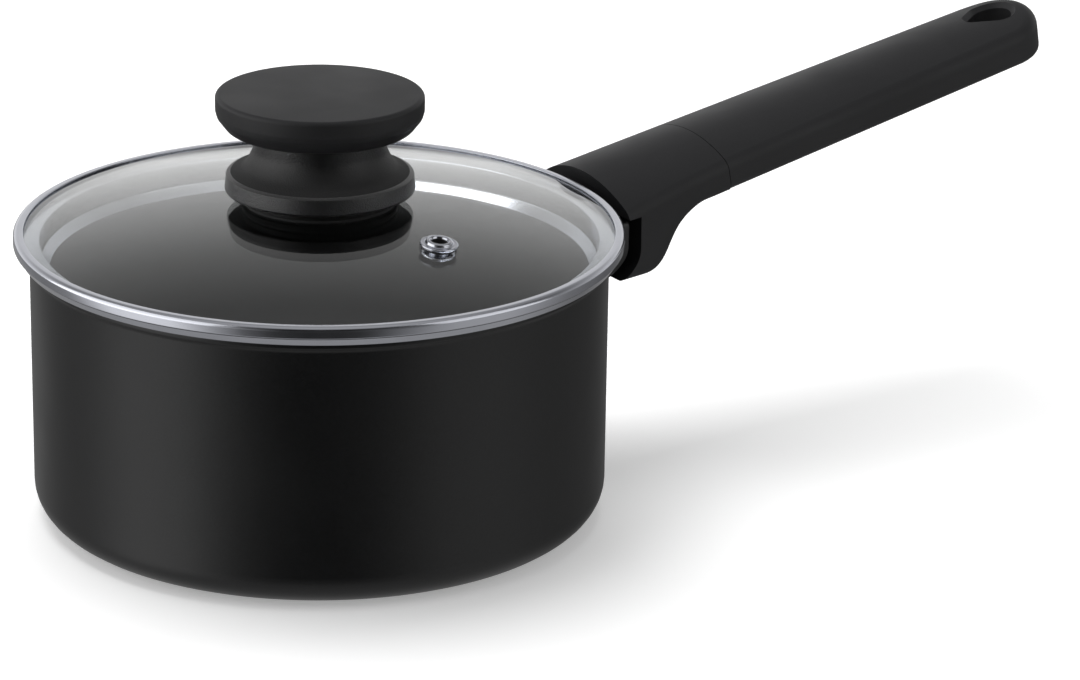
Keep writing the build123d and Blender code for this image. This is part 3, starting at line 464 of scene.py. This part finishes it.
ventSizes = {"x": 9.9, "y": -47.3, "bore": 2.2, "tube": 2.9, "flange": 5.4, "flangeThick": 1.0, "step": 4.1,
             "stepThick": 0.9, "seal": 0.4, "boreShadeWall": 0.12}
ventBore, tubeR, stepR = ventSizes["bore"], ventSizes["tube"], ventSizes["step"]
tubeLow = -glassSizes["thickness"] - 2 * ventSizes["seal"]
flangeZ = ventSizes["seal"]
stepZ = flangeZ + ventSizes["flangeThick"]
eyeletTop = stepZ + ventSizes["stepThick"]
eyeletProfile = softened([
    (ventBore, tubeLow, 0.1), (tubeR, tubeLow, 0.2), (tubeR, flangeZ, 0), (ventSizes["flange"], flangeZ, 0.3),
    (ventSizes["flange"], stepZ, 0.32), (stepR + 0.25, stepZ - 0.1, 0.12), (stepR - 0.2, stepZ, 0.2),
    (stepR - 0.45, eyeletTop - 0.1, 0.5), (ventBore + 0.5, eyeletTop, 0.6), (ventBore, eyeletTop - 0.7, 0.3)],
    closed=True)
ventEyelet = turned("ventEyelet", eyeletProfile, steps=96, closed=True, sharpAngle=40)
ventOut = math.hypot(ventSizes["x"], ventSizes["y"])
ventPlace = Vector((ventSizes["x"], ventSizes["y"], domeHeight(ventOut, domeR))) * mm
lean = math.asin(ventOut / domeR)
out = Vector((ventSizes["x"], ventSizes["y"], 0)).normalized()
normal = Vector((math.sin(lean) * out.x, math.sin(lean) * out.y, math.cos(lean)))
ventEyelet.rotation_mode = "QUATERNION"
ventEyelet.rotation_quaternion = Vector((0, 0, 1)).rotation_difference(normal)
ventEyelet.location = ventPlace
bpy.ops.object.transform_apply(location=True, rotation=True, scale=True)
finishPiece(ventEyelet, polishedSteel, "lid", "vent_eyelet")
ventEyelet.data.materials.append(silicone)  # painted shade: the bore's wall takes the dull dark silicone, so that the bore reads as a deep hole
# faces inside the bore, and a little past its edge, get the painted shade
for face in ventEyelet.data.polygons:
    offset = face.center - ventPlace
    height = offset.dot(normal)
    if (offset - normal * height).length < (ventBore + ventSizes["boreShadeWall"]) * mm:
        face.material_index = 1
print("vent made")


finishes = {
    "handle_heel": softTouch, "handle_grip": softTouch, "flame_guard": grainedPlastic,
    "handle_bracket": brushedSteel, "handle_tang": brushedSteel, "tang_rivets": brushedSteel,
    "handle_screws": brushedSteel, "vent_seal": silicone, "vent_collar": polishedSteel,
    "knob_insert": turnedBrass, "knob_gasket": silicone, "knob_grommet": silicone,
    "knob_washer": brushedSteel, "knob_screw": brushedSteel}
for node, material in finishes.items():
    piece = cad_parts[node]
    piece.data.materials.clear()
    piece.data.materials.append(material)
print("CAD pieces finished:", len(finishes))


floorSizes = {"side": 9.0, "drop": 0.0002, "glow": 0.30}
bpy.ops.object.select_all(action="DESELECT")
bpy.ops.mesh.primitive_plane_add(size=floorSizes["side"], location=(0, 0, -floorSizes["drop"]))
floor = bpy.context.object
floor.name = "lightTable"
paper, tree, shader = startMaterial("whiteAcrylicTable", "#f2f2f2", 0.9)
shader.inputs["Specular IOR Level"].default_value = 0.0
shader.inputs["Emission Color"].default_value = (1, 1, 1, 1)
shader.inputs["Emission Strength"].default_value = floorSizes["glow"]
floor.data.materials.append(paper)
floor.visible_glossy = False  # what the pan mirrors from below comes from the studio's lower walls
floor.visible_shadow = False

# The studio's walls, as stops of place and brightness. Heights run from straight down at 0 to straight up
# at 1. Turns run from behind the pan, by its left, past the camera near 0.5, to behind it by its right.
studio = {
    "azimuth": -31.0,
    "aim": (0.04, 0, 0.05),
    "upperByHeight": [(0.50, 1.0), (0.587, 0.9), (0.671, 0.72), (0.75, 0.44), (0.82, 0.26), (1.0, 0.45)],
    "upperByTurn": [
        (0.0, 1.0), (0.30, 0.9), (0.37, 0.6), (0.42, 0.25), (0.46, 0.04), (0.53, 0.04), (0.58, 0.14),
        (0.66, 0.22), (0.76, 0.28), (0.82, 0.5), (0.88, 0.9), (1.0, 1.0)],
    "lowerByTurn": [
        (0.0, 0.30), (0.09, 0.30), (0.15, 0.20), (0.21, 0.28), (0.27, 0.95), (0.34, 1.0), (0.39, 0.38),
        (0.42, 0.13), (0.45, 0.04), (0.5, 0.02), (0.55, 0.04), (0.59, 0.20), (0.64, 0.44), (0.71, 0.45),
        (0.79, 0.21), (0.88, 0.13), (0.92, 0.14), (1.0, 0.30)],
    "straightDown": (0.36, 0.36, 0.36, 1),
}
studioTurn = math.radians(studio["azimuth"])
toFront = Vector((math.sin(studioTurn), -math.cos(studioTurn), 0))
toRight = Vector((0, 0, 1)).cross(toFront)
world = bpy.data.worlds.new("studio")
bpy.context.scene.world = world
world.use_nodes = True
tree = world.node_tree
background = tree.nodes["Background"]
direction = addNode(tree, "ShaderNodeTexCoord")
split = addNode(tree, "ShaderNodeSeparateXYZ", {}, {"Vector": direction.outputs["Generated"]})
rise = addNode(tree, "ShaderNodeMapRange", {"From Min": -1.0, "From Max": 1.0}, {"Value": split.outputs["Z"]})
facing = addNode(tree, "ShaderNodeVectorMath", {"operation": "DOT_PRODUCT", 1: toFront},
                 {0: direction.outputs["Generated"]})
across = addNode(tree, "ShaderNodeVectorMath", {"operation": "DOT_PRODUCT", 1: toRight},
                 {0: direction.outputs["Generated"]})
angle = addNode(tree, "ShaderNodeMath", {"operation": "ARCTAN2"},
                {0: across.outputs["Value"], 1: facing.outputs["Value"]})
around = addNode(tree, "ShaderNodeMapRange", {"From Min": -math.pi, "From Max": math.pi},
                 {"Value": angle.outputs["Value"]})
upperByHeight = addNode(tree, "ShaderNodeValToRGB", {}, {"Fac": rise.outputs["Result"]})
upperByTurn = addNode(tree, "ShaderNodeValToRGB", {}, {"Fac": around.outputs["Result"]})
lowerByTurn = addNode(tree, "ShaderNodeValToRGB", {}, {"Fac": around.outputs["Result"]})
ramps = {"upperByHeight": upperByHeight, "upperByTurn": upperByTurn, "lowerByTurn": lowerByTurn}
for name, ramp in ramps.items():
    elements = ramp.color_ramp.elements
    while len(elements) < len(studio[name]):
        elements.new(0.5)
    for element, (place, value) in zip(elements, studio[name]):
        element.position = place
        element.color = (value, value, value, 1)

# Overhead the turns fade out, and straight down the lower walls turn to an even grey.
overhead = addNode(tree, "ShaderNodeMapRange", {"From Min": 0.88, "From Max": 0.96},
                   {"Value": rise.outputs["Result"]})
turnShare = addNode(tree, "ShaderNodeMix", {"data_type": "RGBA", 7: (1, 1, 1, 1)},
                    {0: overhead.outputs["Result"], 6: upperByTurn.outputs["Color"]})
upperWalls = addNode(tree, "ShaderNodeMix", {"data_type": "RGBA", "blend_type": "MULTIPLY", 0: 1.0},
                     {6: upperByHeight.outputs["Color"], 7: turnShare.outputs[2]})
downward = addNode(tree, "ShaderNodeMapRange", {"From Min": 0.10, "From Max": 0.22},
                   {"Value": rise.outputs["Result"]})
lowerWalls = addNode(tree, "ShaderNodeMix", {"data_type": "RGBA", 6: studio["straightDown"]},
                     {0: downward.outputs["Result"], 7: lowerByTurn.outputs["Color"]})
horizon = addNode(tree, "ShaderNodeMapRange", {"From Min": 0.47, "From Max": 0.50},
                  {"Value": rise.outputs["Result"]})
walls = addNode(tree, "ShaderNodeMix", {"data_type": "RGBA"},
                {0: horizon.outputs["Result"], 6: lowerWalls.outputs[2], 7: upperWalls.outputs[2]})
rays = addNode(tree, "ShaderNodeLightPath")
backdrop = addNode(tree, "ShaderNodeMix", {"data_type": "RGBA", 7: (1, 1, 1, 1)},
                   {0: rays.outputs["Is Camera Ray"], 6: walls.outputs[2]})  # plain white past the floor
tree.links.new(backdrop.outputs[2], background.inputs["Color"])

softboxes = {
    "leftBox": {"turn": -76, "distance": 1.3, "height": 0.95, "width": 2.0, "tall": 1.8, "power": 11.5,
                "upright": True},
    "rightBox": {"turn": 66, "distance": 1.3, "height": 1.0, "width": 1.1, "tall": 1.7, "power": 5.0,
                 "upright": True},
    "topBox": {"turn": -150, "distance": 0.5, "height": 1.5, "width": 1.2, "tall": 1.2, "power": 20,
               "upright": False},
}
for name, box in softboxes.items():
    turn = math.radians(studio["azimuth"] + box["turn"])
    spot = Vector((math.sin(turn) * box["distance"], -math.cos(turn) * box["distance"], box["height"]))
    bpy.ops.object.light_add(type="AREA", location=spot)
    light = bpy.context.object
    light.name = name
    light.data.shape = "RECTANGLE"
    light.data.size, light.data.size_y = box["width"], box["tall"]
    light.data.energy = box["power"]
    light.visible_camera = False
    light.visible_glossy = box["upright"]  # the handle's top stays even, with no top light mirrored in it
    aim = Vector(studio["aim"]) - spot
    if box["upright"]:
        aim.z = 0
    light.rotation_mode = "QUATERNION"
    light.rotation_quaternion = aim.to_track_quat("-Z", "Y")

cameraSizes = {"place": (-0.61964, -1.03273, 0.48090), "azimuth": -33.968, "elevation": 19.684, "roll": 0.965,
               "lens": 148.25, "sensor": 36.0, "reach": 50.0}
bpy.ops.object.camera_add()
camera = bpy.context.object
turn, tilt = math.radians(cameraSizes["azimuth"]), math.radians(cameraSizes["elevation"])
back = Vector((math.sin(turn) * math.cos(tilt), -math.cos(turn) * math.cos(tilt), math.sin(tilt)))
right = Vector((0, 0, 1)).cross(back).normalized()
up = back.cross(right)
roll = math.radians(cameraSizes["roll"])
rolledRight = right * math.cos(roll) + up * math.sin(roll)
rolledUp = up * math.cos(roll) - right * math.sin(roll)
cameraTurn = Matrix((rolledRight, rolledUp, back)).transposed().to_4x4()
camera.matrix_world = Matrix.Translation(cameraSizes["place"]) @ cameraTurn
camera.data.lens = cameraSizes["lens"]
camera.data.sensor_width = cameraSizes["sensor"]
camera.data.clip_end = cameraSizes["reach"]
bpy.context.scene.camera = camera
bpy.context.scene.view_settings.view_transform = "Standard"
bpy.context.scene.view_settings.look = "None"
print("studio set up")
